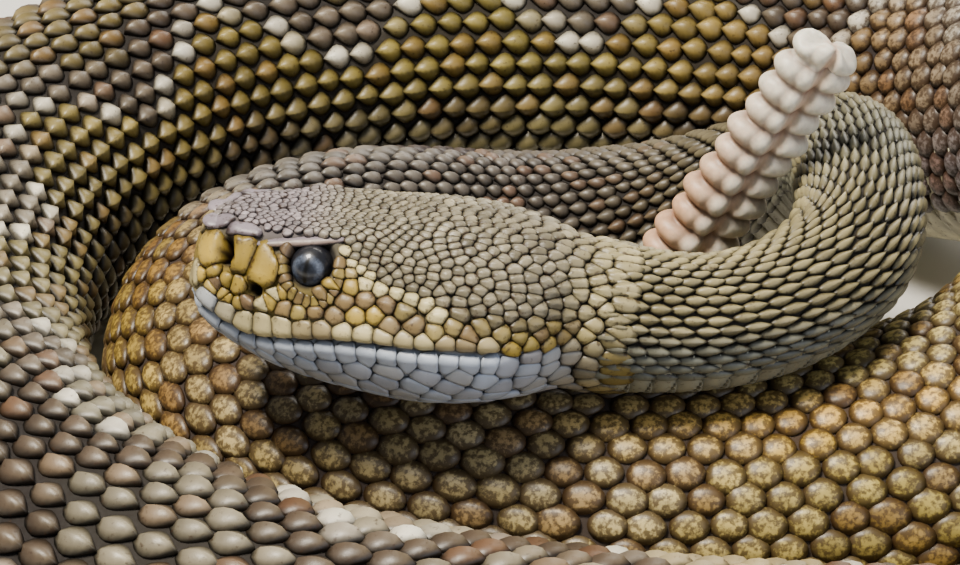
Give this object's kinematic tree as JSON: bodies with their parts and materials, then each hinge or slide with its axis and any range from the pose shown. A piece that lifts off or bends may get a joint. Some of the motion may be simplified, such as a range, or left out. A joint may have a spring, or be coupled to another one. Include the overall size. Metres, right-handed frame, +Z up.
{
  "type": "coiled rattlesnake",
  "caption": "Life-size still model of a coiled adult rattlesnake, its head resting on its own coils and its rattle standing up behind the neck.",
  "frame": {"origin": "on the floor under the middle of the bounding box", "axes": "+Z up from the floor; the head points along -X; +X is the longest side and +Z the shortest"},
  "size_m": [0.2974, 0.2434, 0.0872],
  "materials": {
    "scaled_skin": "keeled scales, satin",
    "tail_skin": "keeled scales, satin",
    "head_skin": "fine scales, satin",
    "chin_skin": "smooth scales, satin",
    "eye_gloss": "clear wet gloss",
    "rattle_horn": "dry horn, satin"
  },
  "bodies": {
    "root": {"neck_front": "scaled_skin", "neck_back": "scaled_skin", "torso_inner_far": "scaled_skin", "torso_inner_left": "scaled_skin", "torso_inner_near": "scaled_skin", "torso_arch_near": "scaled_skin", "torso_arch_far": "scaled_skin", "torso_far": "scaled_skin", "torso_far_left": "scaled_skin", "torso_left": "scaled_skin", "torso_near_left": "scaled_skin", "torso_near": "scaled_skin", "torso_near_right": "scaled_skin", "torso_right": "scaled_skin", "tail": "tail_skin", "tail_tip": "tail_skin", "head": "head_skin", "lower_jaw": "chin_skin", "eye_left": "eye_gloss", "eye_right": "eye_gloss", "rattle": "rattle_horn"}
  },
  "joints": []
}
